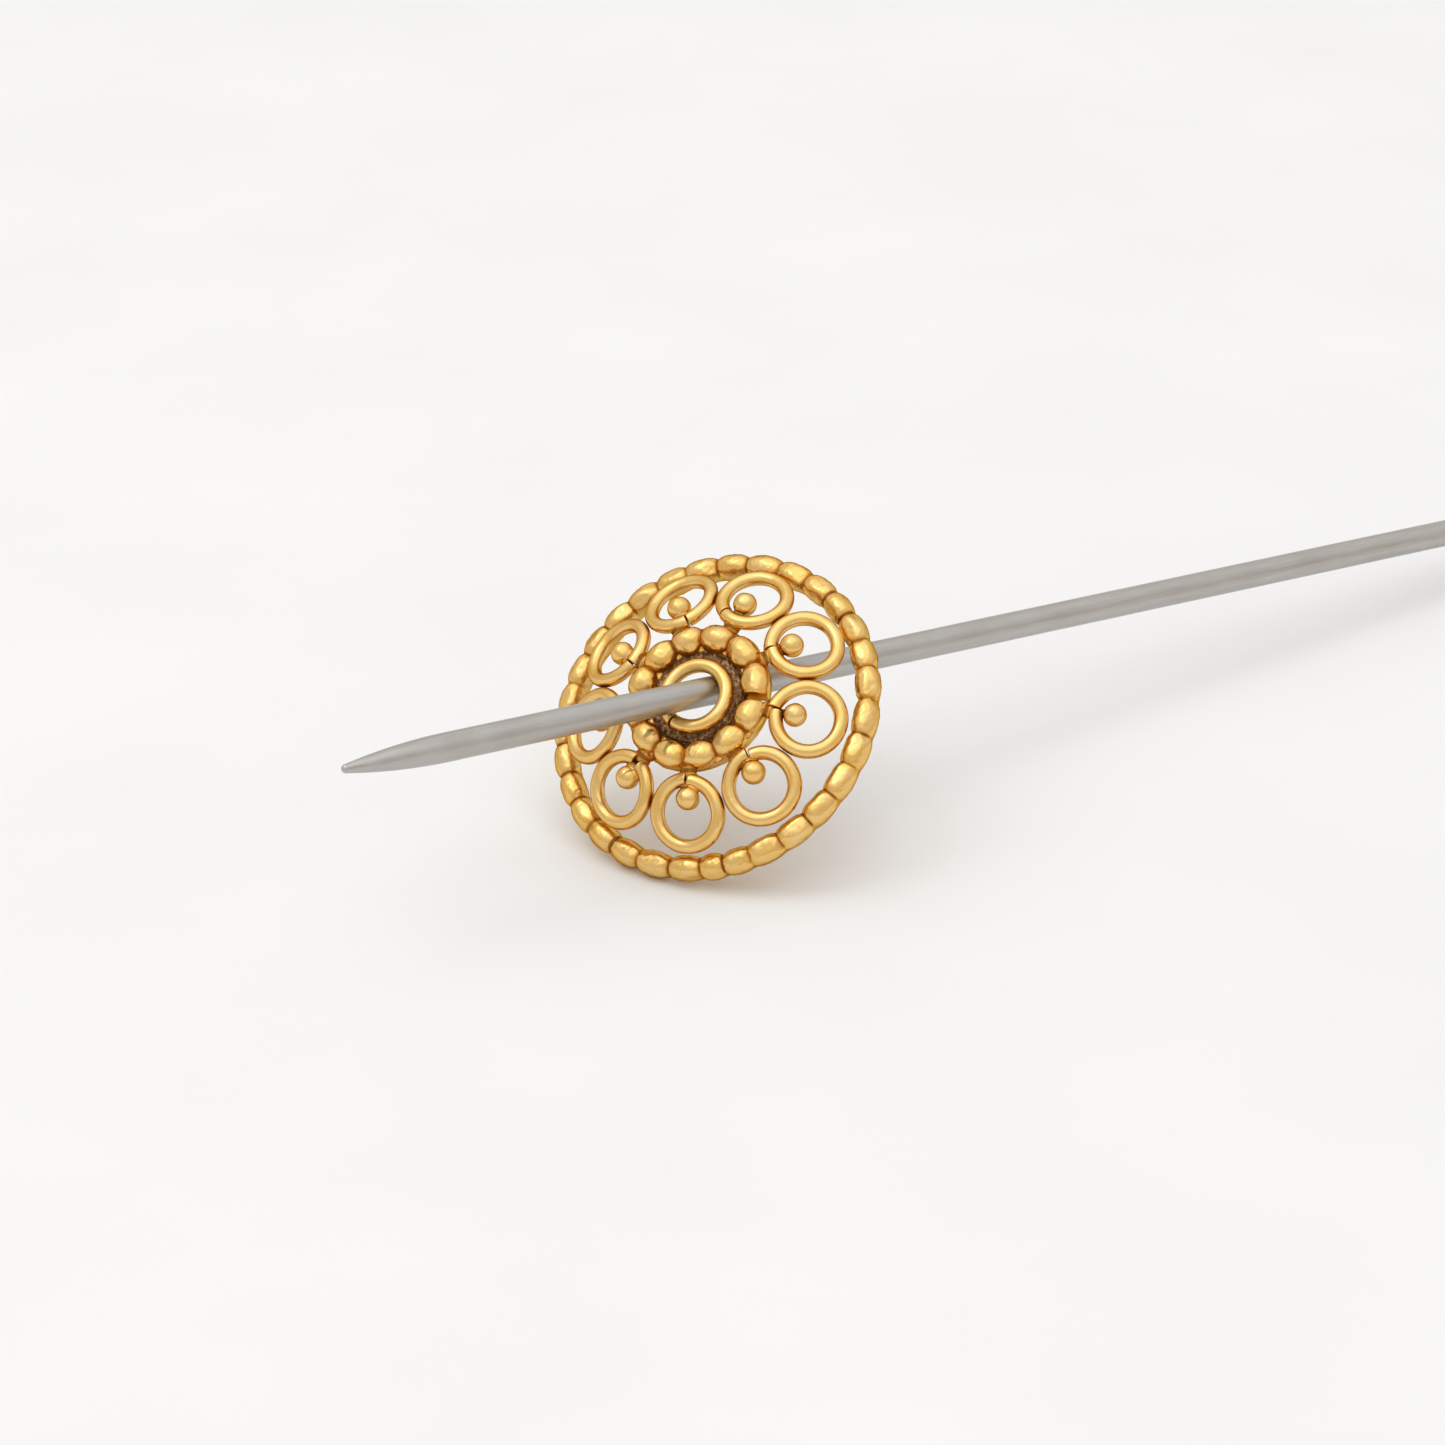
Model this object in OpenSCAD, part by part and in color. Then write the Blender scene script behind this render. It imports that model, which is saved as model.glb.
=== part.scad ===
// Openwork disc bead of beaded wire, rings and granules, threaded on a tapered pin.
// The disc has its own frame: z along its front, z = 0 in the middle of the rim.

/* [Rim] */
// Outside diameter of the rim over its beads
rim_d = 15; // [12:0.5:20]
// Radial width of the beads of the rim
rim_w = 1.1; // [0.98:0.02:1.2]
// Height of the plain band at the back of the rim
band_h = 0.66; // [0.56:0.02:0.8]
// Number of beads round the rim
rim_beads = 31; // [25:1:37]

/* [Rings] */
// Number of rings between the rim and the collar
ring_n = 9; // [9:1:9]
// Diameter of the round wire of the rings
wire_d = 0.62; // [0.5:0.02:0.7]
// Outside diameter of each ring
ring_d = 3.4; // [3.2:0.02:3.42]
// Distance from the disc axis to the middle of each ring
ring_r = 4.97; // [4.9:0.01:5.05]
// Slope of the rings, high side towards the hub
ring_slope = 25; // [15:1:30]
// Width of the slit where the ends of a ring meet
slit_w = 0.1; // [0.05:0.01:0.2]

/* [Granules] */
// Diameter of each granule
granule_d = 1.04; // [0.8:0.02:1.04]

/* [Hub] */
// Outside diameter of the collar over its beads
collar_d = 6.64; // [6.2:0.02:6.66]
// Radial width of the beads of the collar
collar_w = 1.28; // [1.14:0.02:1.3]
// Number of beads round the collar
collar_beads = 12; // [10:1:14]
// Width of the gap between the cut ends of the collar
collar_gap = 0.08; // [0.05:0.01:0.2]
// Diameter of the centre ring, measured at the middle of its wire
centre_d = 2.8; // [2.68:0.02:2.8]
// Diameter of the hole through the hub plate
plate_hole_d = 2.94; // [2.9:0.02:3.0]
// Thickness of the hub plate
plate_t = 0.28; // [0.2:0.02:0.3]

/* [Pin] */
// Diameter of the pin
pin_d = 1.22; // [1.0:0.02:1.22]
// Diameter of the blunt end of the tip
tip_d = 0.38; // [0.2:0.02:0.5]
// Length of the taper at the tip
taper_l = 4.8; // [4:0.1:8]
// Length of the pin from the hub to its tip
tip_reach = 17.3; // [15:0.1:30]
// Length of the pin from the hub to its plain end
tail_reach = 65.3; // [60:0.1:65.3]

/* [Rest position] */
// Rise of the pin towards its tip
pin_rise = 5.6; // [4:0.1:5.6]
// Lean of the disc from lying flat
disc_lean = 43.6; // [40:0.1:44]
// Turn of the disc's lean away from the line of the pin
disc_turn = 20.4; // [15:0.1:22]

/* [Hidden] */
$fn = 48;

gold = [0.86, 0.62, 0.24];
deep_gold = [0.70, 0.47, 0.16];
dark_gold = [0.30, 0.22, 0.13];
steel = [0.62, 0.61, 0.60];

// rim: a plain band at the back under a row of beads on its front
rim_r = rim_d / 2 - rim_w / 2;
band_w = rim_w - 0.12;
band_r = rim_r - 0.05;
band_back = -0.53;
band_corner = 0.24;
rim_bead_z = 0.05;
rim_phase = -50.6;
// half width of the notch between two beads and how far its floor lies above the bar's middle
notch_w = 0.3;
notch_floor = 0.12;

// rings, counted clockwise from the high side of the disc
ring_step = 360 / ring_n;
ring_phase = 37.7;
ring_z = 1.34;
wire_r = wire_d / 2;
ring_mid = ring_d / 2 - wire_r;
// place of each slit round its ring, from the side that faces the hub
slit_at = [12, -29, -11, 0, -15, -4, -3, 0, -7];

granule_at = 4.5;
granule_z = 1.8;

collar_r = collar_d / 2 - collar_w / 2;
collar_z = 2.0;
collar_cut = -76;
collar_band_w = collar_w - 0.12;
collar_band_r = collar_r - 0.04;
collar_band_h = 0.66;
collar_back = 1.38;

centre_z = 2.17;
centre_r = centre_d / 2;
centre_cut = 161;
plate_top = centre_z - wire_r + 0.03;
plate_r = 2.12;

pin_r = pin_d / 2;
// how far the pin lies to one side of the middle of the bead's hole, and how steeply
pin_aside = 0.12;
aside_rise = 20;

// height of the rim's middle when the back edge of the rim touches the ground
rim_height = (band_r + band_w / 2 - band_corner) * sin(disc_lean)
    - (band_back + band_corner) * cos(disc_lean) + band_corner;
hub_height = rim_height + centre_z * cos(disc_lean);
// the disc stands so that the whole part is centred over the origin
hub_x = -(tail_reach - tip_reach) * cos(pin_rise) / 2;
hub_y = -centre_z * sin(disc_lean) * sin(disc_turn);

// puts a piece of the disc in its place, leaning on the ground
module on_disc() {
    translate([hub_x, hub_y, hub_height])
        rotate([0, -disc_lean, disc_turn])
            translate([0, 0, -centre_z])
                children();
}

// puts a piece drawn along z from the hub towards the tip on the line of the pin
module on_pin() {
    translate([hub_x, hub_y + pin_aside * cos(aside_rise), hub_height + pin_aside * sin(aside_rise)])
        rotate([0, -90 + pin_rise, 0])
            children();
}

// rectangle with round corners, its middle at the origin
module round_section(w, h, r) {
    square([w - 2 * r, h], center = true);
    square([w, h - 2 * r], center = true);
    for (x = [-1, 1], y = [-1, 1])
        translate([x * (w / 2 - r), y * (h / 2 - r)])
            circle(r);
}

// round bar bent to a circle, notched across its front into a row of beads
module beaded_wire(count, r, bar_r, phase) {
    pitch = 360 / count;
    difference() {
        rotate_extrude($fn = 128)
            translate([r, 0])
                circle(bar_r);
        for (k = [0:count - 1])
            rotate([0, 0, phase + (k + 0.5) * pitch])
                translate([r, 0, 0])
                    rotate([0, 90, 0])
                        linear_extrude(height = 3 * bar_r, center = true)
                            polygon([
                                [-1.4 * bar_r, -notch_w],
                                [-notch_floor, 0],
                                [-1.4 * bar_r, notch_w]
                            ]);
    }
}

// wire ring lying flat with a slit at the given angle
module wire_ring(r, cut_at, gap) {
    difference() {
        rotate_extrude($fn = 64)
            translate([r, 0])
                circle(wire_r, $fn = 32);
        rotate([0, 0, cut_at])
            translate([r, 0, 0])
                cube([3 * wire_r, gap, 3 * wire_r], center = true);
    }
}

// moves to the place of ring k and leans it, its x axis pointing away from the hub
module at_ring(k) {
    rotate([0, 0, ring_phase - (k - 1) * ring_step])
        translate([ring_r, 0, ring_z])
            rotate([0, ring_slope, 0])
                children();
}

module rim() {
    color(gold)
        on_disc() {
            rotate_extrude($fn = 128)
                translate([band_r, band_back + band_h / 2])
                    round_section(band_w, band_h, band_corner);
            translate([0, 0, rim_bead_z])
                beaded_wire(rim_beads, rim_r, rim_w / 2, rim_phase);
        }
}

module collar() {
    color(gold)
        on_disc()
            difference() {
                union() {
                    rotate_extrude($fn = 96)
                        translate([collar_band_r, collar_back + collar_band_h / 2])
                            round_section(collar_band_w, collar_band_h, 0.2);
                    translate([0, 0, collar_z])
                        beaded_wire(collar_beads, collar_r, collar_w / 2,
                            collar_cut + 180 / collar_beads);
                }
                rotate([0, 0, collar_cut])
                    translate([collar_r, 0, collar_z])
                        cube([2 * collar_w, collar_gap, 3], center = true);
            }
}

module hub_plate() {
    color(dark_gold)
        on_disc()
            translate([0, 0, plate_top - plate_t])
                difference() {
                    cylinder(r = plate_r, h = plate_t, $fn = 96);
                    translate([0, 0, -1])
                        cylinder(d = plate_hole_d, h = plate_t + 2, $fn = 96);
                }
}

module centre_ring() {
    color(gold)
        on_disc()
            translate([0, 0, centre_z])
                wire_ring(centre_r, centre_cut, slit_w);
}

module ring(k) {
    color(gold)
        on_disc()
            at_ring(k)
                wire_ring(ring_mid, 180 + slit_at[k - 1], slit_w);
}

module granule(k) {
    color(gold)
        on_disc()
            rotate([0, 0, ring_phase - (k - 1) * ring_step])
                translate([granule_at, 0, granule_z])
                    sphere(d = granule_d);
}

// small drops of solder where each ring lies on the rim
module rim_solder() {
    color(deep_gold)
        on_disc()
            for (k = [1:ring_n])
                at_ring(k)
                    translate([ring_mid + 0.1, 0, -0.3])
                        sphere(r = 0.26);
}

// small drops of solder between each ring and the collar
module collar_solder() {
    color(deep_gold)
        on_disc()
            for (k = [1:ring_n])
                rotate([0, 0, ring_phase - (k - 1) * ring_step])
                    translate([3.33, 0, 1.78])
                        sphere(r = 0.24);
}

// small drops of solder where neighbouring rings meet
module ring_solder() {
    color(deep_gold)
        on_disc()
            for (k = [1:ring_n])
                rotate([0, 0, ring_phase - (k - 0.5) * ring_step])
                    translate([ring_r * cos(180 / ring_n), 0, ring_z - 0.14])
                        sphere(r = 0.17);
}

// round bar with a long curved taper to a blunt round tip
module pin() {
    // arc of the taper, tangent to the side of the bar
    drop = pin_r - tip_d / 2;
    arc = (taper_l * taper_l + drop * drop) / (2 * drop);
    nose = tip_d / 2;
    color(steel)
        on_pin()
            rotate_extrude($fn = 48) {
                translate([0, -tail_reach])
                    square([pin_r, tail_reach + tip_reach - taper_l - nose]);
                translate([0, tip_reach - taper_l - nose])
                    intersection() {
                        translate([pin_r - arc, 0])
                            circle(arc, $fn = 720);
                        square([pin_r, taper_l]);
                    }
                translate([0, tip_reach - nose])
                    intersection() {
                        circle(nose);
                        square(nose);
                    }
            }
}

rim();
collar();
hub_plate();
centre_ring();
rim_solder();
collar_solder();
ring_solder();
pin();
for (k = [1:ring_n])
    ring(k);
for (k = [1:ring_n])
    granule(k);
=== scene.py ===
import math

import bpy
import numpy as np
from mathutils import Matrix, Vector


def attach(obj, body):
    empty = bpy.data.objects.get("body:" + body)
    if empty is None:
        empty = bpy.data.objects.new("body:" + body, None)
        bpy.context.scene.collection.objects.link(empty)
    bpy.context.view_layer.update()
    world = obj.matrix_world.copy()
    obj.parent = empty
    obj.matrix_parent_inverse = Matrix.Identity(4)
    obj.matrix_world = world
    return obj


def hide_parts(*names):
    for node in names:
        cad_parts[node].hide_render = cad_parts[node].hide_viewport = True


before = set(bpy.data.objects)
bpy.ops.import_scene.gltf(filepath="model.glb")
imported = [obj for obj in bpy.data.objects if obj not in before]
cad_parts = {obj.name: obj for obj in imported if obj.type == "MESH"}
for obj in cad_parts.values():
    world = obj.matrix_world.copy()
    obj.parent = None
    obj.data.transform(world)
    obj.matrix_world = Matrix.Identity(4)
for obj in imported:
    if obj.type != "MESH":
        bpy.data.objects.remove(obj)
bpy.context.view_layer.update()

MM = 0.001
TAU = 2 * math.pi
rad = math.radians

# ---------------------------------------------------------------- dimensions, mm and degrees
RIM_R = 6.95          # middle of the rim's beaded wire
RIM_BEADS = 31
RIM_FIRST_SEAM = 12.7
COLLAR_R = 2.68
COLLAR_Z = 2.0
COLLAR_BEADS = 12
COLLAR_CUT = -76.0
RING_N = 9
RING_PHASE = 37.7     # first ring; the others follow clockwise
RING_AT = 4.97
RING_Z = 1.34
RING_SLOPE = 25.0
RING_MID = 1.39       # ring radius to the middle of its wire
WIRE_R = 0.31
GRANULE_AT = 4.5
GRANULE_Z = 1.8
GRANULE_R = 0.52
CENTRE_Z = 2.17
CENTRE_R = 1.40
CENTRE_CUT = 161.0
PLATE_TOP = 1.89
PLATE_T = 0.28
PLATE_HOLE_R = 1.47
PLATE_R = 2.12
PIN_R = 0.61
TIP_R = 0.19
TAPER_L = 4.8
TIP_REACH = 17.3
TAIL_REACH = 65.3
PIN_RISE = 5.6
PIN_ASIDE = 0.12      # how far the pin lies to one side in the hole, and how steeply
ASIDE_RISE = 20.0
DISC_LEAN = 43.6
DISC_TURN = 20.4

# ---------------------------------------------------------------- frames
lean, turn, rise = rad(DISC_LEAN), rad(DISC_TURN), rad(PIN_RISE)
rim_height = 7.15 * math.sin(lean) + 0.29 * math.cos(lean) + 0.24
HUB = np.array([
    -(TAIL_REACH - TIP_REACH) * math.cos(rise) / 2,
    -CENTRE_Z * math.sin(lean) * math.sin(turn),
    rim_height + CENTRE_Z * math.cos(lean)])
R_DISC = np.array((Matrix.Rotation(turn, 3, "Z") @ Matrix.Rotation(-lean, 3, "Y")))
NORMAL = R_DISC @ np.array([0, 0, 1.0])
RIM_CENTRE = HUB - CENTRE_Z * NORMAL
TO_TIP = np.array([-math.cos(rise), 0, math.sin(rise)])
ON_PIN = HUB + PIN_ASIDE * np.array([0, math.cos(rad(ASIDE_RISE)), math.sin(rad(ASIDE_RISE))])


def disc_to_world(p):
    return (p @ R_DISC.T + RIM_CENTRE) * MM


def ring_frame(k):
    """Rotation and place of ring k (1 to 9) in the disc's frame."""
    a = rad(RING_PHASE - (k - 1) * 360 / RING_N)
    m = Matrix.Rotation(a, 3, "Z") @ Matrix.Rotation(rad(RING_SLOPE), 3, "Y")
    c = np.array([RING_AT * math.cos(a), RING_AT * math.sin(a), RING_Z])
    return np.array(m), c


def polar(angle, r, z):
    return np.array([r * math.cos(rad(angle)), r * math.sin(rad(angle)), z])


# ---------------------------------------------------------------- fields and noise
def waves(p, wavelength, seed, count=14):
    """Smooth random field of about -1 to 1 with features of the given size."""
    rng = np.random.default_rng(seed)
    out = np.zeros(len(p))
    for _ in range(count):
        d = rng.normal(size=3)
        d *= TAU / wavelength * rng.uniform(0.6, 1.5) / np.linalg.norm(d)
        out += np.sin(p @ d + rng.uniform(0, TAU))
    return out / math.sqrt(count / 2) / 1.6


def torus_field(p, major, minor):
    return np.hypot(np.hypot(p[:, 0], p[:, 1]) - major, p[:, 2]) - minor


def ring_field(k):
    m, c = ring_frame(k)
    return lambda p: torus_field((p - c) @ m, RING_MID, WIRE_R)


def rounded_bar(p, r0, z0, w, h, corner):
    """Distance to a round band of rectangular section with round corners."""
    x = np.abs(np.hypot(p[:, 0], p[:, 1]) - r0) - (w / 2 - corner)
    z = np.abs(p[:, 2] - z0) - (h / 2 - corner)
    return np.hypot(np.maximum(x, 0), np.maximum(z, 0)) + np.minimum(np.maximum(x, z), 0) - corner


def rim_field(p):
    bar = rounded_bar(p, RIM_R - 0.05, -0.2, 0.98, 0.66, 0.24)
    beads = torus_field(p, RIM_R, 0.48)
    return np.minimum(bar, beads)


def collar_field(p):
    bar = rounded_bar(p, COLLAR_R - 0.04, 1.71, 1.16, 0.66, 0.2)
    beads = torus_field(p - np.array([0, 0, COLLAR_Z]), COLLAR_R, 0.57)
    return np.minimum(bar, beads)


def granule_field(k):
    c = polar(RING_PHASE - (k - 1) * 360 / RING_N, GRANULE_AT, GRANULE_Z)
    return lambda p: np.linalg.norm(p - c, axis=1) - GRANULE_R


def centre_field(p):
    return torus_field(p - np.array([0, 0, CENTRE_Z]), CENTRE_R, WIRE_R)


FIELDS = {"rim": rim_field, "collar": collar_field, "centre_ring": centre_field}
for k in range(1, RING_N + 1):
    FIELDS[f"ring_{k}"] = ring_field(k)
    FIELDS[f"granule_{k}"] = granule_field(k)


def near_others(p, own, reach):
    """1 where the surface touches another piece of the disc, 0 beyond reach."""
    d = np.full(len(p), 9.0)
    for name, f in FIELDS.items():
        if name not in own:
            d = np.minimum(d, f(p))
    t = np.clip(1 - np.maximum(d, 0) / reach, 0, 1)
    return t * t * (3 - 2 * t)


def smooth_min(a, b, k):
    h = np.maximum(k - np.abs(a - b), 0) / k
    return np.minimum(a, b) - h * h * k / 4


# ---------------------------------------------------------------- mesh making
def make_object(name, verts, faces, grime_and_shade, body="disc"):
    """Object from world-space vertices in metres, with its darkening attribute: dirt and painted shade on
    the gold, oxide wear on the plate.
    """
    mesh = bpy.data.meshes.new(name)
    mesh.from_pydata(verts.tolist(), [], faces)
    mesh.update()
    mesh.polygons.foreach_set("use_smooth", [True] * len(mesh.polygons))
    layer = mesh.attributes.new("grime_and_shade", "FLOAT", "POINT")
    layer.data.foreach_set("value", np.clip(grime_and_shade, 0, 1).astype(np.float32))
    ob = bpy.data.objects.new(name, mesh)
    bpy.context.scene.collection.objects.link(ob)
    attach(ob, body)
    return ob


def grid_faces(rows, cols, wrap_rows):
    """Quads over a grid of vertices whose columns always close on themselves."""
    faces = []
    for i in range(rows if wrap_rows else rows - 1):
        a, b = i * cols, ((i + 1) % rows) * cols
        for j in range(cols):
            n = (j + 1) % cols
            faces.append((a + j, a + n, b + n, b + j))
    return faces


def closed_ends(faces, rows, cols):
    """Two fans to the extra vertices that follow the grid."""
    first, last = rows * cols, rows * cols + 1
    for j in range(cols):
        n = (j + 1) % cols
        faces.append((first, n, j))
        faces.append((last, (rows - 1) * cols + j, (rows - 1) * cols + n))
    return faces


def sweep(centres, across, up, radii_across, radii_up, segments):
    """Grid of points round a path: one row per centre."""
    t = np.linspace(0, TAU, segments, endpoint=False)
    return (centres[:, None, :]
            + across[:, None, :] * (np.cos(t)[None, :, None] * radii_across[:, None, None])
            + up[:, None, :] * (np.sin(t)[None, :, None] * radii_up[:, None, None]))


def wire_ring_points(radius, cut, gap, ends, seed, segments=36, steps=200):
    """Round wire bent to a ring in its own plane, with two cut ends.

    ends gives how far each cut end is sprung outward and upward: (out0, up0, out1, up1).
    """
    rng = np.random.default_rng(seed)
    half = gap / 2 / radius
    bevel = 0.028
    lead = np.array([0, 0.012, bevel, 0.06]) / radius
    body = np.linspace(0.09 / radius, TAU - 2 * half - 0.09 / radius, steps)
    a = np.concatenate([lead, body, TAU - 2 * half - lead[::-1]])
    shrink = np.ones(len(a))
    shrink[:3] = 0.86, 0.95, 0.995
    shrink[-3:] = 0.995, 0.95, 0.86
    u = a / (TAU - 2 * half)
    s0 = np.clip(1 - u / 0.13, 0, 1) ** 2
    s1 = np.clip(1 - (1 - u) / 0.13, 0, 1) ** 2
    wob = 0.012 * np.sin(2 * TAU * u + rng.uniform(0, TAU))
    wob = wob + 0.008 * np.sin(3 * TAU * u + rng.uniform(0, TAU))
    r = radius + wob + s0 * ends[0] + s1 * ends[2]
    z = 0.01 * np.sin(TAU * u + rng.uniform(0, TAU)) + s0 * ends[1] + s1 * ends[3]
    ang = cut + half + a
    c = np.stack([r * np.cos(ang), r * np.sin(ang), z], 1)
    across = np.stack([np.cos(ang), np.sin(ang), np.zeros_like(ang)], 1)
    up = np.tile([0, 0, 1.0], (len(ang), 1))
    p = sweep(c, across, up, WIRE_R * shrink, WIRE_R * shrink, segments)
    return p.reshape(-1, 3), c[0], c[-1], len(ang), segments


def wire_ring(name, radius, cut, gap, ends, seed, to_disc, own):
    p, c0, c1, rows, cols = wire_ring_points(radius, rad(cut), gap, ends, seed)
    p = np.vstack([p, c0, c1])
    a = np.arctan2(p[:, 1], p[:, 0])
    out = p - np.stack([radius * np.cos(a), radius * np.sin(a), 0 * a], 1)
    out /= np.maximum(np.linalg.norm(out, axis=1, keepdims=True), 1e-6)
    uneven = 0.004 * waves(p, 1.1, seed + 50) + 0.0012 * waves(p, 0.3, seed + 51) - 0.004
    p = p + out * uneven[:, None]
    q = to_disc(p)
    # dirt and painted shade where the ring touches other pieces of the disc
    grime_and_shade = near_others(q, own, 0.22)
    faces = closed_ends(grid_faces(rows, cols, False), rows, cols)
    # the cut ends are darkened too: painted shade in the slit
    end = np.abs((np.degrees(a) - cut + 180) % 360 - 180)
    tip = np.clip(1 - (np.radians(end) * radius - gap / 2) / 0.035, 0, 1)
    grime_and_shade = np.maximum(grime_and_shade, 0.75 * tip)
    return make_object(name, disc_to_world(q), faces, grime_and_shade)


def band_profile(w, h, corner, x_mid, z_mid, z_from, angles):
    """Distance from (0, z_from) to the outline of the round-cornered band, for each angle."""
    lo, hi = np.zeros(len(angles)), np.full(len(angles), 1.5)
    for _ in range(40):
        mid = (lo + hi) / 2
        x = np.abs(mid * np.cos(angles) - x_mid) - (w / 2 - corner)
        z = np.abs(mid * np.sin(angles) + z_from - z_mid) - (h / 2 - corner)
        d = np.hypot(np.maximum(x, 0), np.maximum(z, 0)) + np.minimum(np.maximum(x, z), 0) - corner
        inside = d < 0
        lo, hi = np.where(inside, mid, lo), np.where(inside, hi, mid)
    return lo


def seams(first, count, lengths):
    """Angles of the seams round a beaded wire, whose beads are equal apart from those in lengths."""
    share = np.array([lengths.get(i, 1.0) for i in range(count)])
    return rad(first) + np.concatenate([[0], np.cumsum(TAU * share / share.sum())])


def bead_reach(cos, sin, s, half, size, off, power, dents):
    """How far each ray of the section runs inside one bead, at the distances s from its middle."""
    k2 = 1 - np.abs(s / half) ** power
    a, b = size
    qa = (cos / a) ** 2 + (sin / b) ** 2
    qb = -2 * sin * off / b ** 2
    root = qb * qb - 4 * qa * ((off / b) ** 2 - k2)
    r = np.where(root > 0, (-qb + np.sqrt(np.maximum(root, 0))) / (2 * qa), 0)
    r = np.maximum(r, 0.001)
    for n, dist in dents:
        facing = n[0] * cos + n[1] * sin
        flat = (dist * (a + b) / 2 + n[1] * off - n[2] * s * a / half) / np.maximum(facing, 1e-3)
        flat = np.where(facing > 0.05, np.maximum(flat, 0.05), 9.0)
        r = (r ** -30 + flat ** -30) ** (-1 / 30)
    return r


def beaded_wire(name, r0, z0, edges, band, bead, fullness, boxy, seed, own, cut=None):
    """Beaded wire bent to a circle: a plain band at the back, dented ball beads on its front.

    edges are the angles of the seams. band is (width, height, corner, middle across, middle z);
    bead is (half width, half height, middle z), both relative to the wire's middle. fullness is
    how far each bead would run past its own half length, and boxy gives its power by angle.
    cut is (gap, lift of the first and of the last end) for a wire left open at the first seam.
    """
    rng = np.random.default_rng(seed)
    count = len(edges) - 1
    middles, halves = (edges[1:] + edges[:-1]) / 2, (edges[1:] - edges[:-1]) / 2
    # samples crowd together at the seams
    t = np.linspace(-1, 1, 44, endpoint=False)
    t = np.sign(t) * (1 - (1 - np.abs(t)) ** 1.35)
    theta = (middles[:, None] + t[None, :] * halves[:, None]).ravel()
    if cut is not None:
        gap = cut[0] / r0
        lead = np.array([0, 0.012, 0.035, 0.07]) / r0
        a0, span = edges[0] + gap / 2, TAU - gap
        inner = theta - a0
        inner = inner[(inner > 0.09 / r0) & (inner < span - 0.09 / r0)]
        theta = a0 + np.concatenate([lead, inner, span - lead[::-1]])
    seg = 64
    phi = np.linspace(0, TAU, seg, endpoint=False)
    cos, sin = np.cos(phi)[None, :], np.sin(phi)[None, :]
    z_from = -0.02
    rho = np.tile(band_profile(*band, z_from, phi), (len(theta), 1))
    best = np.full(rho.shape, 1e-3)
    for i in range(count):
        half = halves[i] * r0 * rng.uniform(*fullness)
        s = ((theta - middles[i] + math.pi) % TAU - math.pi) * r0
        s = s - halves[i] * r0 * rng.uniform(-0.05, 0.05)
        size = bead[0] * rng.uniform(0.97, 0.999), bead[1] * rng.uniform(0.95, 0.999)
        dents = []
        for _ in range(rng.integers(2, 5)):
            n = rng.normal(size=3) * [1, 1, 0.6]
            n[1] = abs(n[1]) + 0.2
            dents.append((n / np.linalg.norm(n), rng.uniform(0.90, 1.02)))
        near = np.abs(s) < half
        reach = bead_reach(cos, sin, s[near][:, None], half, size, bead[2] - z_from,
                           boxy(middles[i]) * rng.uniform(0.95, 1.1), dents)
        best[near] = np.maximum(best[near], reach)
    rho = (rho ** 14 + best ** 14) ** (1 / 14)
    # dirt and painted shade in the seams, where the surface dips between two beads
    seam_gap = np.abs((theta[:, None] - edges[None, :] + math.pi) % TAU - math.pi)
    to_seam = seam_gap.min(1) * r0
    seam_darkness = rng.uniform(0.15, 0.62, count + 1)[seam_gap.argmin(1)]
    dip = np.clip((bead[1] * (0.80 + 0.2 * np.abs(sin)) - rho) / 0.12, 0, 1)
    dirt_and_shade = seam_darkness * np.exp(-(to_seam / 0.055) ** 2) + 0.40 * np.exp(-(to_seam / 0.2) ** 2)
    grime_and_shade = (dip * dirt_and_shade[:, None] * np.clip(sin + 0.5, 0, 1)).ravel()
    lift = np.zeros(len(theta))
    if cut is not None:
        rho[:3] *= np.array([0.9, 0.965, 0.995])[:, None]
        rho[-3:] *= np.array([0.995, 0.965, 0.9])[:, None]
        lift += cut[1] * np.clip(1 - (theta - theta[0]) * r0 / 1.6, 0, 1) ** 2
        lift += cut[2] * np.clip(1 - (theta[-1] - theta) * r0 / 1.6, 0, 1) ** 2
    r = r0 + rho * cos
    z = z0 + z_from + rho * sin + lift[:, None]
    p = np.stack([r * np.cos(theta)[:, None], r * np.sin(theta)[:, None], z], 2).reshape(-1, 3)
    outward = np.stack([cos * np.cos(theta)[:, None], cos * np.sin(theta)[:, None],
                        np.broadcast_to(sin, rho.shape)], 2).reshape(-1, 3)
    uneven = 0.007 * waves(p, 0.75, seed + 1) + 0.006 * waves(p, 0.26, seed + 2) - 0.011
    p = p + outward * uneven[:, None]
    # dirt and painted shade where the wire touches other pieces of the disc
    grime_and_shade = np.maximum(grime_and_shade, 0.9 * near_others(p, own, 0.24))
    rows = len(theta)
    faces = grid_faces(rows, seg, cut is None)
    if cut is not None:
        ends = [p[row * seg:(row + 1) * seg].mean(0) for row in (0, rows - 1)]
        p = np.vstack([p, ends])
        grime_and_shade = np.concatenate([grime_and_shade, [0.45, 0.45]])
        faces = closed_ends(faces, rows, seg)
    return make_object(name, disc_to_world(p), faces, grime_and_shade)


def ball_directions(rings=34, segments=56, pole=(0, 0, 1)):
    """Directions over a ball with its grid faces, poles included as the last two."""
    v = np.linspace(0, math.pi, rings + 2)[1:-1]
    u = np.linspace(0, TAU, segments, endpoint=False)
    d = np.stack([np.sin(v)[:, None] * np.cos(u)[None, :],
                  np.sin(v)[:, None] * np.sin(u)[None, :],
                  np.cos(v)[:, None] * np.ones(segments)[None, :]], 2).reshape(-1, 3)
    d = np.vstack([d, [0, 0, 1.0], [0, 0, -1.0]])
    faces = closed_ends(grid_faces(rings, segments, False), rings, segments)
    faces = [tuple(reversed(f)) for f in faces]
    q = np.array(Vector((0, 0, 1)).rotation_difference(Vector(pole)).to_matrix())
    return d @ q.T, faces


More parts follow.
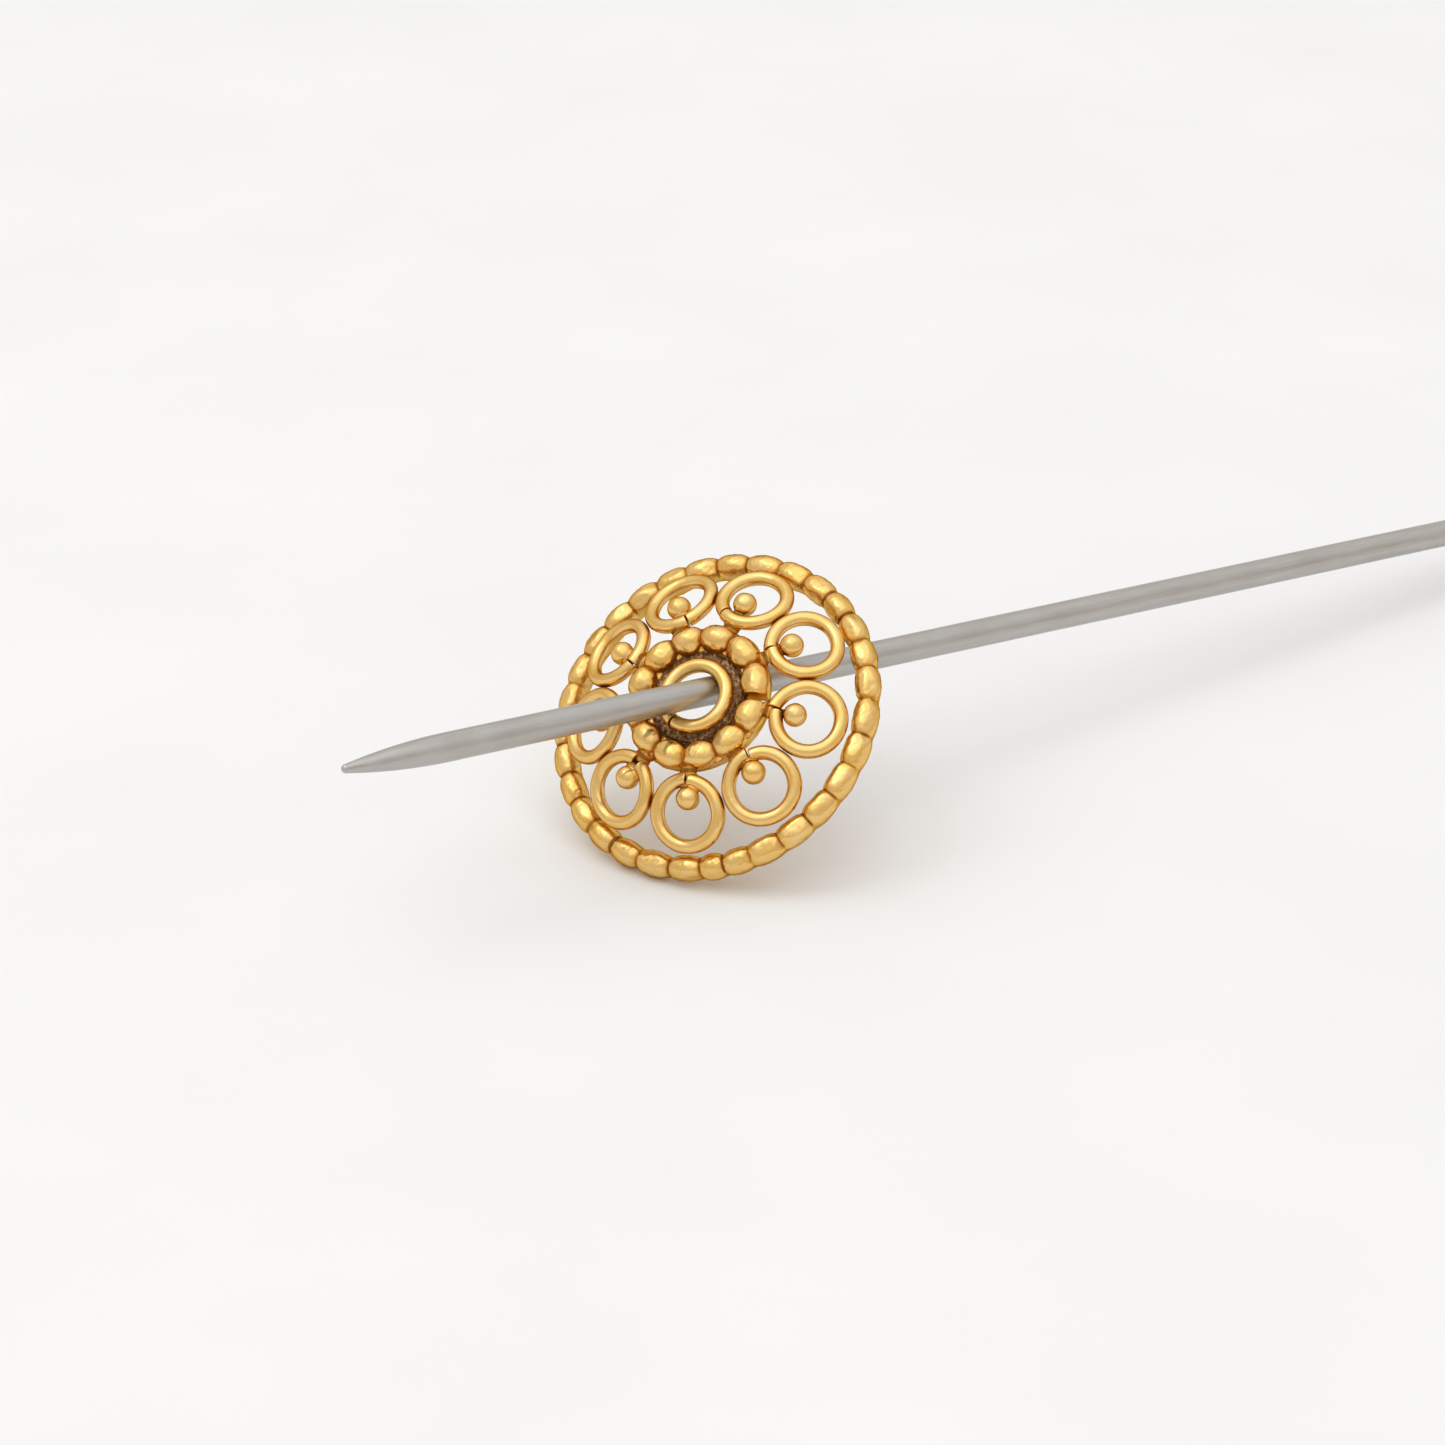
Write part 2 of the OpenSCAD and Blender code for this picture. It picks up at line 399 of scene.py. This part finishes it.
def ray_surface(centre, dirs, field, reach, steps=90):
    """First exit of each ray from the region where field is below zero, up to reach."""
    t = np.full(len(dirs), reach)
    open_ = np.ones(len(dirs), bool)
    for s in np.linspace(0, reach, steps)[1:]:
        f = field(centre + dirs * s)
        out = open_ & (f > 0)
        if out.any():
            lo = np.full(out.sum(), s - reach / (steps - 1))
            hi = np.full(out.sum(), s)
            for _ in range(9):
                mid = (lo + hi) / 2
                g = field(centre + dirs[out] * mid[:, None])
                lo, hi = np.where(g <= 0, mid, lo), np.where(g <= 0, hi, mid)
            t[out] = (lo + hi) / 2
            open_ &= ~out
        if not open_.any():
            break
    return t


def fillet(centre, pole, fields, blend, reach, seed, detail=(26, 40)):
    """Solder drawn in between two or more pieces, as a closed star-shaped mesh."""
    dirs, faces = ball_directions(*detail, pole=pole)

    def field(p):
        f = fields[0](p) + 0.008
        for g in fields[1:]:
            f = smooth_min(f, g(p) + 0.008, blend)
        return f + 0.012 * waves(p, 0.3, seed, 8)

    t = ray_surface(centre, dirs, field, reach)
    p = centre + dirs * t[:, None]
    # painted shade and dirt: darker in the hollow of the solder, away from the pieces it joins
    plain = np.min([g(p) for g in fields], axis=0)
    grime_and_shade = np.clip(plain / 0.05, 0, 1) * 0.85 + 0.15
    return p, faces, grime_and_shade


def merged(parts):
    verts, faces, grime_and_shade, base = [], [], [], 0
    for p, f, s in parts:
        verts.append(p)
        grime_and_shade.append(s)
        faces += [tuple(i + base for i in face) for face in f]
        base += len(p)
    return np.vstack(verts), faces, np.concatenate(grime_and_shade)


# ---------------------------------------------------------------- materials
def new_material(name):
    mat = bpy.data.materials.new(name)
    mat.use_nodes = True
    nodes, links = mat.node_tree.nodes, mat.node_tree.links
    return mat, nodes, links, nodes["Principled BSDF"]


def noise(nodes, links, coord, scale, detail=3.0, roughness=0.5):
    n = nodes.new("ShaderNodeTexNoise")
    n.inputs["Scale"].default_value = scale
    n.inputs["Detail"].default_value = detail
    n.inputs["Roughness"].default_value = roughness
    links.new(coord, n.inputs["Vector"])
    return n.outputs["Fac"]


def ramp(nodes, links, fac, stops):
    r = nodes.new("ShaderNodeValToRGB")
    r.color_ramp.elements[0].position, r.color_ramp.elements[0].color = stops[0][0], (*stops[0][1], 1)
    r.color_ramp.elements[1].position, r.color_ramp.elements[1].color = stops[-1][0], (*stops[-1][1], 1)
    for pos, col in stops[1:-1]:
        e = r.color_ramp.elements.new(pos)
        e.color = (*col, 1)
    links.new(fac, r.inputs["Fac"])
    return r.outputs["Color"]


def mix_colour(nodes, links, fac, a, b):
    m = nodes.new("ShaderNodeMix")
    m.data_type = "RGBA"
    links.new(fac, m.inputs["Factor"])
    for socket, value in (("A", a), ("B", b)):
        s = [i for i in m.inputs if i.name == socket and i.type == "RGBA"][0]
        if isinstance(value, tuple):
            s.default_value = (*value, 1)
        else:
            links.new(value, s)
    return [o for o in m.outputs if o.type == "RGBA"][0]


def maths(nodes, links, op, a, b=None, clamp=False):
    m = nodes.new("ShaderNodeMath")
    m.operation = op
    m.use_clamp = clamp
    for i, v in enumerate((a, b)):
        if v is None:
            continue
        if isinstance(v, (int, float)):
            m.inputs[i].default_value = v
        else:
            links.new(v, m.inputs[i])
    return m.outputs[0]


def remap(nodes, links, value, lo, hi, to_lo, to_hi):
    m = nodes.new("ShaderNodeMapRange")
    links.new(value, m.inputs["Value"])
    m.inputs["From Min"].default_value, m.inputs["From Max"].default_value = lo, hi
    m.inputs["To Min"].default_value, m.inputs["To Max"].default_value = to_lo, to_hi
    return m.outputs["Result"]


def bump(nodes, links, height, distance, strength, bsdf, prior=None):
    b = nodes.new("ShaderNodeBump")
    b.inputs["Distance"].default_value = distance
    b.inputs["Strength"].default_value = strength
    links.new(height, b.inputs["Height"])
    if prior is not None:
        links.new(prior, b.inputs["Normal"])
    links.new(b.outputs["Normal"], bsdf.inputs["Normal"])
    return b.outputs["Normal"]


def gold_material(name, light, deep, rough_lo, rough_hi, dirt_shade_gain, pit=0.5):
    """Yellow gold: soft polish, duller where solder and dirt have settled; darker brown there from dirt and
    painted shade, and deep amber from a painted reflection of gold in gold.
    """
    mat, nodes, links, bsdf = new_material(name)
    coord = nodes.new("ShaderNodeTexCoord").outputs["Object"]
    cloud = noise(nodes, links, coord, 900.0, 4.0, 0.6)
    fine = noise(nodes, links, coord, 5200.0, 3.0, 0.6)
    tone = ramp(nodes, links, cloud, [(0.32, deep), (0.68, light)])
    grime_and_shade = nodes.new("ShaderNodeAttribute")
    grime_and_shade.attribute_name = "grime_and_shade"
    # the edge of the dirt and painted shade is broken up by fine noise
    edge = maths(nodes, links, "MULTIPLY_ADD", grime_and_shade.outputs["Fac"], dirt_shade_gain)
    edge.node.inputs[2].default_value = -0.35
    edge = maths(nodes, links, "ADD", edge, maths(nodes, links, "MULTIPLY", fine, 0.5))
    # dirt and painted shade: the mask turns the colour brown at joints, seams, slits and contacts
    dirt_and_shade = remap(nodes, links, edge, 0.18, 0.95, 0.0, 1.0)
    dirt_shade_brown = ramp(nodes, links, fine, [(0.3, (0.15, 0.058, 0.015)), (0.7, (0.38, 0.165, 0.035))])
    # painted reflection: the same mask tints the gold deep amber, as gold seen mirrored in neighbouring gold
    reflection_mask = maths(nodes, links, "MULTIPLY", grime_and_shade.outputs["Fac"], 1.25, True)
    painted_reflection = mix_colour(nodes, links, reflection_mask, tone, (0.78, 0.37, 0.05))
    colour = mix_colour(nodes, links, dirt_and_shade, painted_reflection, dirt_shade_brown)
    links.new(colour, bsdf.inputs["Base Color"])
    bsdf.inputs["Metallic"].default_value = 1.0
    # painted shade: the dark orange edge tint darkens the wires' rims at grazing angles, standing in for
    # dark surroundings seen in reflection
    bsdf.inputs["Specular Tint"].default_value = (0.50, 0.27, 0.10, 1)
    rough = remap(nodes, links, cloud, 0.3, 0.7, rough_lo, rough_hi)
    rough = maths(nodes, links, "ADD", rough, maths(nodes, links, "MULTIPLY", dirt_and_shade, 0.32))
    links.new(rough, bsdf.inputs["Roughness"])
    height = maths(nodes, links, "ADD", maths(nodes, links, "MULTIPLY", fine, pit), cloud)
    bump(nodes, links, height, 0.00002, 0.3, bsdf)
    return mat


GOLD = gold_material(
    "gold_polished", (0.86, 0.595, 0.245), (0.83, 0.52, 0.155), 0.20, 0.27, 1.15, 0.25)
GOLD_CAST = gold_material(
    "gold_beaded", (0.85, 0.585, 0.235), (0.82, 0.50, 0.135), 0.18, 0.30, 1.15, 0.9)
GOLD_SOLDER = gold_material(
    "gold_solder", (0.70, 0.42, 0.13), (0.56, 0.29, 0.075), 0.30, 0.46, 0.95, 1.2)


def plate_material():
    """Dark oxidised metal with bright worn specks."""
    mat, nodes, links, bsdf = new_material("oxidised_plate")
    coord = nodes.new("ShaderNodeTexCoord").outputs["Object"]
    grain = noise(nodes, links, coord, 5000.0, 4.0, 0.65)
    patch = noise(nodes, links, coord, 1500.0, 3.0, 0.6)
    height = nodes.new("ShaderNodeAttribute")
    height.attribute_name = "grime_and_shade"
    low = maths(nodes, links, "SUBTRACT", 1.0, height.outputs["Fac"])
    worn = maths(nodes, links, "ADD", maths(nodes, links, "MULTIPLY", grain, 0.55),
                 maths(nodes, links, "MULTIPLY", low, 0.6))
    colour = ramp(nodes, links, worn, [
        (0.34, (0.085, 0.042, 0.020)), (0.52, (0.19, 0.105, 0.052)),
        (0.68, (0.33, 0.21, 0.105)), (0.84, (0.72, 0.56, 0.33))])
    links.new(colour, bsdf.inputs["Base Color"])
    bsdf.inputs["Metallic"].default_value = 1.0
    links.new(remap(nodes, links, patch, 0.3, 0.7, 0.34, 0.6), bsdf.inputs["Roughness"])
    bump(nodes, links, maths(nodes, links, "ADD", grain, patch), 0.00004, 0.5, bsdf)
    return mat


def steel_material():
    """Drawn steel wire: fine lines along its length, a little mottling."""
    mat, nodes, links, bsdf = new_material("steel_drawn")
    coord = nodes.new("ShaderNodeTexCoord").outputs["Object"]
    turn_to_pin = nodes.new("ShaderNodeMapping")
    turn_to_pin.inputs["Rotation"].default_value = (0, -rise, 0)
    links.new(coord, turn_to_pin.inputs["Vector"])
    along = nodes.new("ShaderNodeMapping")
    along.inputs["Scale"].default_value = (0.035, 1.0, 1.0)
    links.new(turn_to_pin.outputs["Vector"], along.inputs["Vector"])
    lines = noise(nodes, links, along.outputs["Vector"], 9000.0, 3.0, 0.6)
    broad = noise(nodes, links, along.outputs["Vector"], 2200.0, 2.0, 0.5)
    mottle = noise(nodes, links, coord, 700.0, 4.0, 0.6)
    both = maths(nodes, links, "ADD", maths(nodes, links, "MULTIPLY", lines, 0.6),
                 maths(nodes, links, "MULTIPLY", mottle, 0.4))
    colour = ramp(nodes, links, both, [
        (0.30, (0.43, 0.41, 0.39)), (0.55, (0.50, 0.48, 0.46)), (0.75, (0.57, 0.55, 0.53))])
    links.new(colour, bsdf.inputs["Base Color"])
    bsdf.inputs["Metallic"].default_value = 1.0
    half = maths(nodes, links, "ADD", maths(nodes, links, "MULTIPLY", lines, 0.5),
                 maths(nodes, links, "MULTIPLY", mottle, 0.5))
    links.new(remap(nodes, links, half, 0.3, 0.7, 0.30, 0.46), bsdf.inputs["Roughness"])
    bump(nodes, links, maths(nodes, links, "ADD", lines, broad), 0.00002, 0.5, bsdf)
    return mat


PLATE_DARK = plate_material()
STEEL = steel_material()


def dress(ob, mat, *nodes_replaced, slot=None):
    ob.data.materials.clear()
    ob.data.materials.append(mat)
    if nodes_replaced:
        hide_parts(*nodes_replaced)
    return ob


# ---------------------------------------------------------------- the disc
def worn_side(angle):
    """Power of the rim's beads: rounder at the top, boxier on the side that took the wear."""
    return 2.35 + 0.6 * max(0.0, math.cos(angle - rad(250))) ** 2


RIM_ODD_BEADS = {14: 1.09, 16: 0.74, 17: 0.84, 23: 1.16, 25: 0.90, 27: 0.92, 30: 1.11}
rim = beaded_wire(
    "rim_beaded_wire", RIM_R - 0.03, 0.0, seams(RIM_FIRST_SEAM, RIM_BEADS, RIM_ODD_BEADS),
    band=(0.84, 0.64, 0.24, -0.04, -0.2), bead=(0.577, 0.62, 0.01), fullness=(1.26, 1.42),
    boxy=worn_side, seed=11, own=("rim",))
dress(rim, GOLD_CAST, "rim", slot="gold")

collar = beaded_wire(
    "collar_beaded_wire", COLLAR_R, COLLAR_Z,
    seams(COLLAR_CUT, COLLAR_BEADS, {0: 1.12, 1: 1.08, 3: 0.95, 5: 0.93, 6: 0.93}),
    band=(1.16, 0.66, 0.2, -0.04, -0.29), bead=(0.652, 0.645, 0.0), fullness=(1.14, 1.22),
    boxy=lambda angle: 2.1, seed=29, own=("collar",), cut=(0.24, 0.10, -0.06))
dress(collar, GOLD_CAST, "collar", slot="gold")

# slit angle from the hub side, gap, and spring of the two cut ends, outward and upward
RING_CUTS = {
    1: (12, 0.05, (0.00, 0.02, 0.03, 0.00)),
    2: (-29, 0.05, (0.02, 0.00, -0.02, 0.02)),
    3: (-11, 0.05, (-0.03, 0.03, 0.05, -0.01)),
    4: (0, 0.07, (-0.06, 0.02, 0.13, 0.03)),
    5: (-15, 0.08, (0.05, 0.03, -0.07, 0.00)),
    6: (-4, 0.10, (0.03, 0.01, -0.03, 0.04)),
    7: (-3, 0.26, (0.08, 0.02, -0.02, 0.00)),
    8: (0, 0.07, (0.02, 0.00, 0.03, 0.02)),
    9: (-7, 0.06, (0.03, 0.02, -0.02, 0.00)),
}
for k in range(1, RING_N + 1):
    m, c = ring_frame(k)
    at, gap, ends = RING_CUTS[k]
    ring = wire_ring(
        f"wire_ring_{k}", RING_MID, 180 + at, gap, ends, 100 + 7 * k,
        lambda p, m=m, c=c: p @ m.T + c, (f"ring_{k}",))
    dress(ring, GOLD, f"ring_{k}", slot="gold")

centre = wire_ring(
    "centre_wire_ring", CENTRE_R, CENTRE_CUT, 0.08, (0.0, 0.0, 0.02, 0.02), 77,
    lambda p: p + np.array([0, 0, CENTRE_Z]), ("centre_ring",))
dress(centre, GOLD, "centre_ring", slot="gold")

# granules, each drawn into its ring by its solder; turn in degrees and outward shift of each
GRANULE_SHIFT = {
    1: (0.0, 0.02), 2: (0.8, 0.06), 3: (0.5, 0.05), 4: (-0.8, 0.07), 5: (1.2, 0.0),
    6: (1.6, -0.02), 7: (1.2, -0.06), 8: (0.0, 0.0), 9: (0.0, 0.0),
}
for k in range(1, RING_N + 1):
    rng = np.random.default_rng(500 + k)
    angle = RING_PHASE - (k - 1) * 360 / RING_N
    turned, moved = GRANULE_SHIFT[k]
    c = polar(angle + turned, GRANULE_AT + moved, GRANULE_Z)
    size = GRANULE_R * rng.uniform(0.965, 1.0) - 0.006
    dirs, faces = ball_directions(60, 96, pole=tuple(polar(angle, 1, 0)))
    wire = ring_field(k)

    def field(p, c=c, size=size, wire=wire, seed=600 + k):
        ball = np.linalg.norm(p - c, axis=1) - size
        ball = ball + 0.008 * waves(p, 0.5, seed, 10)
        return smooth_min(ball, wire(p) + 0.01, 0.16)

    t = ray_surface(c, dirs, field, size + 0.22)
    p = c + dirs * t[:, None]
    w = wire(p)
    # painted shade and dirt: darker in the solder neck drawn out from the ball and where it nears the ring
    drawn = np.clip((t - size - 0.005) / 0.06, 0, 1)
    touch = np.clip(1 - np.maximum(w, 0) / 0.16, 0, 1)
    grime_and_shade = np.maximum(0.9 * drawn, 0.75 * touch ** 2)
    ob = make_object(f"granule_ball_{k}", disc_to_world(p), faces, grime_and_shade)
    dress(ob, GOLD, f"granule_{k}", slot="gold")

# solder between the rings and the rim, the collar and each other
to_rim, to_collar, to_ring = [], [], []
for k in range(1, RING_N + 1):
    rng = np.random.default_rng(800 + k)
    angle = RING_PHASE - (k - 1) * 360 / RING_N
    out = polar(angle, 1, 0)
    for side in (-1, 1):
        a = angle + side * rng.uniform(1.5, 4.0)
        to_rim.append(fillet(polar(a, 6.40, 0.38), tuple(out), [ring_field(k), rim_field],
                             0.34 + 0.1 * rng.random(), 0.42, 900 + 2 * k + side))
    to_collar.append(fillet(polar(angle + rng.uniform(-3, 3), 3.36, 1.80), tuple(out),
                            [ring_field(k), collar_field], 0.42 + 0.16 * rng.random(), 0.42, 940 + k))
    between = angle - 180 / RING_N
    nxt = k % RING_N + 1
    meet = polar(between, RING_AT * math.cos(math.pi / RING_N), RING_Z)
    to_ring.append(fillet(meet, tuple(polar(between, 1, 0)),
                          [ring_field(k), ring_field(nxt)], 0.16, 0.34, 970 + k))
for name, parts, node in (("solder_at_rim", to_rim, "rim_solder"),
                          ("solder_at_collar", to_collar, "collar_solder"),
                          ("solder_between_rings", to_ring, "ring_solder")):
    p, faces, grime_and_shade = merged(parts)
    ob = make_object(name, disc_to_world(p), faces, grime_and_shade)
    dress(ob, GOLD_SOLDER, node, slot="solder_gold")


# hub plate: a rough annular floor, its top raised a little against the wire and the collar
def hub_plate():
    steps = 420
    top_r = np.linspace(PLATE_HOLE_R + 0.02, PLATE_R - 0.02, 26)
    section = [(PLATE_HOLE_R, PLATE_TOP - 0.05)]
    section += [(r, PLATE_TOP) for r in top_r]
    section += [(PLATE_R, PLATE_TOP - 0.05), (PLATE_R, PLATE_TOP - PLATE_T + 0.03),
                (PLATE_R - 0.03, PLATE_TOP - PLATE_T), (1.9, PLATE_TOP - PLATE_T),
                (1.65, PLATE_TOP - PLATE_T),
                (PLATE_HOLE_R + 0.03, PLATE_TOP - PLATE_T), (PLATE_HOLE_R, PLATE_TOP - PLATE_T + 0.03)]
    section = np.array(section)
    cols = len(section)
    a = np.linspace(0, TAU, steps, endpoint=False)
    p = np.stack([section[None, :, 0] * np.cos(a)[:, None], section[None, :, 0] * np.sin(a)[:, None],
                  np.broadcast_to(section[:, 1], (steps, cols))], 2).reshape(-1, 3)
    r = np.hypot(p[:, 0], p[:, 1])
    is_top = p[:, 2] > PLATE_TOP - 0.01
    rough = 0.011 * waves(p * [1, 1, 0], 0.26, 5, 24) + 0.009 * waves(p * [1, 1, 0], 0.11, 6, 30)
    meniscus = 0.10 * np.exp(-((r - 1.58) / 0.09) ** 2) + 0.12 * np.exp(-((PLATE_R - r) / 0.1) ** 2)
    dz = np.where(is_top, np.clip(rough, -0.06, 0.05) + meniscus - 0.02, 0)
    p[:, 2] += dz
    shade = np.clip(0.55 - rough * 14, 0, 1)
    shade = np.where(is_top, shade, 0.7)
    faces = [tuple(reversed(f)) for f in grid_faces(steps, cols, True)]
    ob = make_object("hub_floor", disc_to_world(p), faces, shade)
    return dress(ob, PLATE_DARK, "hub_plate", slot="oxidised_gold")


hub_plate()


# ---------------------------------------------------------------- the pin
def pin():
    drop = PIN_R - TIP_R
    arc = (TAPER_L ** 2 + drop ** 2) / (2 * drop)
    reach = TIP_REACH - 0.005
    prof = [(reach - TIP_R * (1 - math.cos(a)), TIP_R * math.sin(a))
            for a in np.linspace(0.12, math.pi / 2, 12)]
    start = reach - TIP_R - TAPER_L
    prof += [(start + x, PIN_R - arc + math.sqrt(arc * arc - x * x))
             for x in np.linspace(TAPER_L, 0, 60)[1:]]
    prof += [(x, PIN_R) for x in np.linspace(start, -TAIL_REACH + 0.05, 160)[1:]]
    prof += [(-TAIL_REACH + 0.02, PIN_R - 0.01), (-TAIL_REACH, PIN_R - 0.05),
             (-TAIL_REACH, PIN_R * 0.6), (-TAIL_REACH, PIN_R * 0.3)]
    prof = np.array(prof)
    seg = 64
    u = np.array([0, 1.0, 0])
    v = np.cross(TO_TIP, u)
    t = np.linspace(0, TAU, seg, endpoint=False)
    ring = u[None, :] * np.cos(t)[:, None] + v[None, :] * np.sin(t)[:, None]
    scale = 1 - 0.004 * (0.5 + 0.5 * np.sin(prof[:, 0] * 0.9))
    scale = scale - 0.003 * (0.5 + 0.5 * np.sin(prof[:, 0] * 2.3 + 1))
    p = TO_TIP * prof[:, None, None, 0] + ring[None] * (prof[:, 1] * scale)[:, None, None]
    rows = len(prof)
    p = np.vstack([p.reshape(-1, 3), TO_TIP * reach, -TO_TIP * TAIL_REACH]) + ON_PIN
    faces = closed_ends(grid_faces(rows, seg, False), rows, seg)
    ob = make_object("pin_bar", p * MM, faces, np.zeros(len(p)), body="pin")
    return dress(ob, STEEL, "pin", slot="steel")


pin()

# ---------------------------------------------------------------- floor, light, camera
bpy.ops.mesh.primitive_plane_add(size=3.0, location=(0, 0, 0))
floor = bpy.context.object
floor.name = "floor"
fmat, fnodes, flinks, fbsdf = new_material("floor_pale")
fcoord = fnodes.new("ShaderNodeTexCoord").outputs["Object"]
fbase = ramp(fnodes, flinks, noise(fnodes, flinks, fcoord, 60.0, 3.0, 0.5), [
    (0.3, (0.84, 0.84, 0.84)), (0.7, (0.87, 0.87, 0.87))])
flinks.new(fbase, fbsdf.inputs["Base Color"])
fbsdf.inputs["Roughness"].default_value = 0.95
fbsdf.inputs["Specular IOR Level"].default_value = 0.1
floor.data.materials.append(fmat)

scene = bpy.context.scene
world = bpy.data.worlds.new("studio")
scene.world = world
world.use_nodes = True
wn, wl = world.node_tree.nodes, world.node_tree.links
bg = wn["Background"]
wcoord = wn.new("ShaderNodeTexCoord").outputs["Generated"]
sep = wn.new("ShaderNodeSeparateXYZ")
wl.new(wcoord, sep.inputs[0])
# 0 straight down, 0.5 at the horizon, 1 straight up
rise_of_ray = maths(wn, wl, "MULTIPLY_ADD", sep.outputs["Z"], 0.5)
rise_of_ray.node.inputs[2].default_value = 0.5
sky = ramp(wn, wl, rise_of_ray, [
    (0.50, (0.72, 0.65, 0.57)), (0.64, (0.74, 0.69, 0.63)),
    (0.80, (0.90, 0.89, 0.87)), (1.0, (1.02, 1.04, 1.06))])
wl.new(sky, bg.inputs["Color"])
bg.inputs["Strength"].default_value = 1.0


def softbox(name, place, target, size, power, colour=(1, 1, 1)):
    data = bpy.data.lights.new(name, "AREA")
    data.shape = "RECTANGLE"
    data.size, data.size_y = size
    data.energy = power
    data.color = colour
    ob = bpy.data.objects.new(name, data)
    scene.collection.objects.link(ob)
    ob.location = place
    ob.rotation_euler = (Vector(target) - Vector(place)).to_track_quat("-Z", "Y").to_euler()
    return ob


centre_m = Vector(HUB * MM)
softbox("overhead", centre_m + Vector((-0.10, -0.02, 0.45)), centre_m, (0.62, 0.58), 0.50, (1.0, 0.99, 0.98))
softbox("key", centre_m + Vector((-0.17, 0.08, 0.36)), centre_m, (0.13, 0.13), 0.09)

CAM_E, CAM_A = rad(27.0), rad(-35.8)
back = Vector((math.sin(CAM_A) * math.cos(CAM_E), -math.cos(CAM_A) * math.cos(CAM_E), math.sin(CAM_E)))
right = Vector((math.cos(CAM_A), math.sin(CAM_A), 0))
up = back.cross(right)
cam_data = bpy.data.cameras.new("camera")
cam_data.lens = 112.1
cam_data.sensor_width = 36.0
cam_data.clip_start = 0.01
cam_data.clip_end = 10.0
cam = bpy.data.objects.new("camera", cam_data)
scene.collection.objects.link(cam)
offset = right * 0.29 - up * 0.28 + back * 190.5
cam.matrix_world = Matrix((
    (right.x, up.x, back.x, 0), (right.y, up.y, back.y, 0),
    (right.z, up.z, back.z, 0), (0, 0, 0, 1)))
cam.location = (Vector(RIM_CENTRE) + offset) * MM
scene.camera = cam
scene.view_settings.view_transform = "Standard"
